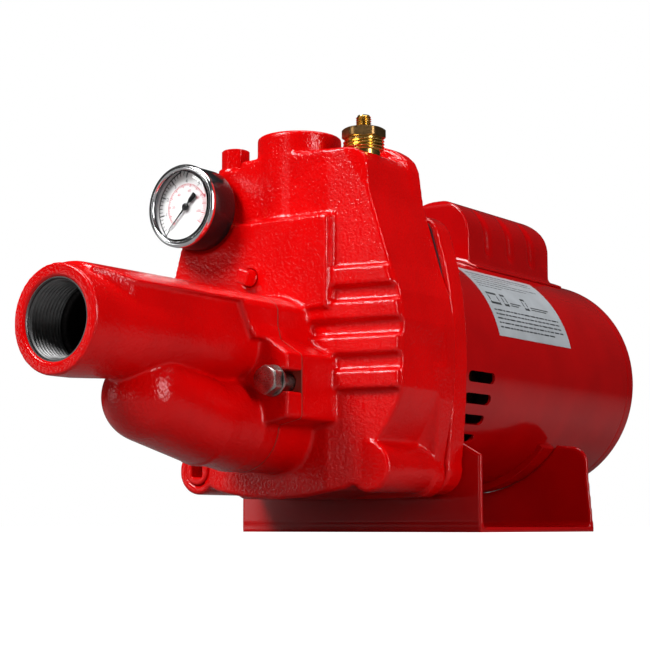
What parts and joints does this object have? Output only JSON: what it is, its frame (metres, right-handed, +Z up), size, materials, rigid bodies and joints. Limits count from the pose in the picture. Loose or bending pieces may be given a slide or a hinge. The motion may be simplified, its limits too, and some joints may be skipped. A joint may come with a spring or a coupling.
{
  "type": "shallow well jet pump",
  "caption": "Shallow well jet pump: cast pump case with bolted jet injector, pressure gauge, prime plug and a capacitor-start motor on a sheet metal foot.",
  "frame": {"origin": "on the floor under the shaft, at the centre of the four foot holes", "axes": "+Z up, +Y along the shaft from the suction port towards the motor, +X to the right seen from the suction port"},
  "size_m": [0.168, 0.4845, 0.2288],
  "materials": {
    "cast_red_paint": "glossy paint over cast iron",
    "sheet_red_paint": "smooth glossy paint over sheet steel",
    "zinc_steel": "zinc plated",
    "plain_steel": "ground steel",
    "core_steel": "stacked lamination steel",
    "brass": "machined",
    "black_plastic": "moulded",
    "gauge_black": "black paint",
    "gauge_chrome": "polished",
    "gauge_glass": "clear",
    "gauge_white": "matt white",
    "rubber": "moulded",
    "gasket_sheet": "pressed fibre",
    "ceramic": "lapped",
    "carbon": "carbon",
    "winding_copper": "varnished",
    "housing_alloy": "die cast",
    "board": "moulded",
    "capacitor_case": "moulded",
    "label_film": "printed film"
  },
  "bodies": {
    "pump_frame": {"injector_body": "cast_red_paint", "pump_case": "cast_red_paint", "motor_adapter": "cast_red_paint", "vent_plug": "cast_red_paint", "motor_shell": "sheet_red_paint", "rear_end_bell": "sheet_red_paint", "motor_foot": "sheet_red_paint", "capacitor_cover": "sheet_red_paint", "terminal_cover": "sheet_red_paint", "saddle_pad": "sheet_red_paint", "injector_bolts": "zinc_steel", "injector_washers": "zinc_steel", "case_bolts": "zinc_steel", "terminal_cover_screws": "zinc_steel", "capacitor_cover_screws": "zinc_steel", "through_bolts": "zinc_steel", "front_bearing_outer": "plain_steel", "rear_bearing_outer": "plain_steel", "stator_core": "core_steel", "switch_fitting": "brass", "nozzle": "brass", "gauge_socket": "brass", "gauge_bourdon_tube": "brass", "diffuser": "black_plastic", "venturi_tube": "black_plastic", "gauge_case": "gauge_black", "gauge_bezel": "gauge_chrome", "gauge_lens": "gauge_glass", "gauge_dial": "gauge_white", "venturi_seal_ring": "rubber", "seal_seat_cup": "rubber", "injector_gasket": "gasket_sheet", "case_gasket": "gasket_sheet", "seal_seat": "ceramic", "stator_windings": "winding_copper", "front_bearing_housing": "housing_alloy", "switch_board": "board", "start_capacitor": "capacitor_case", "data_label": "label_film"},
    "rotor": {"motor_shaft": "plain_steel", "rotor_core": "core_steel", "impeller": "black_plastic", "seal_rotary_head": "carbon", "seal_spring": "plain_steel", "water_slinger": "rubber", "front_bearing_inner": "plain_steel", "rear_bearing_inner": "plain_steel", "cooling_fan": "black_plastic", "governor_plate": "plain_steel"},
    "governor_slider": {"governor_collar": "black_plastic"},
    "governor_left": {"governor_weight_left": "plain_steel"},
    "governor_right": {"governor_weight_right": "plain_steel"},
    "start_switch_lever": {"switch_lever": "black_plastic"},
    "front_ball_ring": {"front_bearing_balls": "plain_steel"},
    "rear_ball_ring": {"rear_bearing_balls": "plain_steel"},
    "gauge_needle": {"gauge_pointer": "gauge_black"},
    "gauge_quadrant": {"gauge_sector": "brass"},
    "prime_plug_body": {"prime_plug": "cast_red_paint"},
    "drain_plug_body": {"drain_plug": "cast_red_paint"}
  },
  "joints": [
    {"name": "rotor_spin", "type": "hinge", "parent": "pump_frame", "child": "rotor", "pos_m": [0, 0, 0.0995], "axis": [0, 1, 0], "continuous": true},
    {"name": "governor_slide", "type": "slide", "parent": "rotor", "child": "governor_slider", "axis": [0, -1, 0], "range_m": [0, 0.003]},
    {"name": "left_weight_swing", "type": "hinge", "parent": "rotor", "child": "governor_left", "pos_m": [-0.021, 0.12, 0.0995], "axis": [0, 0, -1], "range_deg": [0, 22.4]},
    {"name": "right_weight_swing", "type": "hinge", "parent": "rotor", "child": "governor_right", "pos_m": [0.021, 0.12, 0.0995], "axis": [0, 0, 1], "range_deg": [0, 22.4]},
    {"name": "switch_lever_swing", "type": "hinge", "parent": "pump_frame", "child": "start_switch_lever", "pos_m": [0.038, 0.1263, 0.0995], "axis": [0, 0, 1], "range_deg": [0, 7.3]},
    {"name": "front_ball_orbit", "type": "hinge", "parent": "pump_frame", "child": "front_ball_ring", "pos_m": [0, -0.056, 0.0995], "axis": [0, 1, 0], "continuous": true},
    {"name": "rear_ball_orbit", "type": "hinge", "parent": "pump_frame", "child": "rear_ball_ring", "pos_m": [0, 0.144, 0.0995], "axis": [0, 1, 0], "continuous": true},
    {"name": "gauge_needle_turn", "type": "hinge", "parent": "pump_frame", "child": "gauge_needle", "pos_m": [-0.0474, -0.167, 0.1813], "axis": [0, 1, 0], "range_deg": [0, 270]},
    {"name": "gauge_quadrant_swing", "type": "hinge", "parent": "pump_frame", "child": "gauge_quadrant", "pos_m": [-0.0474, -0.167, 0.1638], "axis": [0, 1, 0], "range_deg": [-45, 0]},
    {"name": "prime_plug_lift", "type": "slide", "parent": "pump_frame", "child": "prime_plug_body", "axis": [0, 0, 1], "range_m": [0, 0.03]},
    {"name": "drain_plug_pull", "type": "slide", "parent": "pump_frame", "child": "drain_plug_body", "axis": [0, -1, 0], "range_m": [0, 0.03]}
  ],
  "couplings": [
    {"joint": "front_ball_orbit", "follows": "rotor_spin", "ratio": 0.39},
    {"joint": "rear_ball_orbit", "follows": "rotor_spin", "ratio": 0.39},
    {"joint": "left_weight_swing", "follows": "governor_slide", "rad_per_m": 130},
    {"joint": "right_weight_swing", "follows": "governor_slide", "rad_per_m": 130},
    {"joint": "switch_lever_swing", "follows": "governor_slide", "rad_per_m": 42.5},
    {"joint": "gauge_needle_turn", "follows": "gauge_quadrant_swing", "ratio": -6}
  ]
}
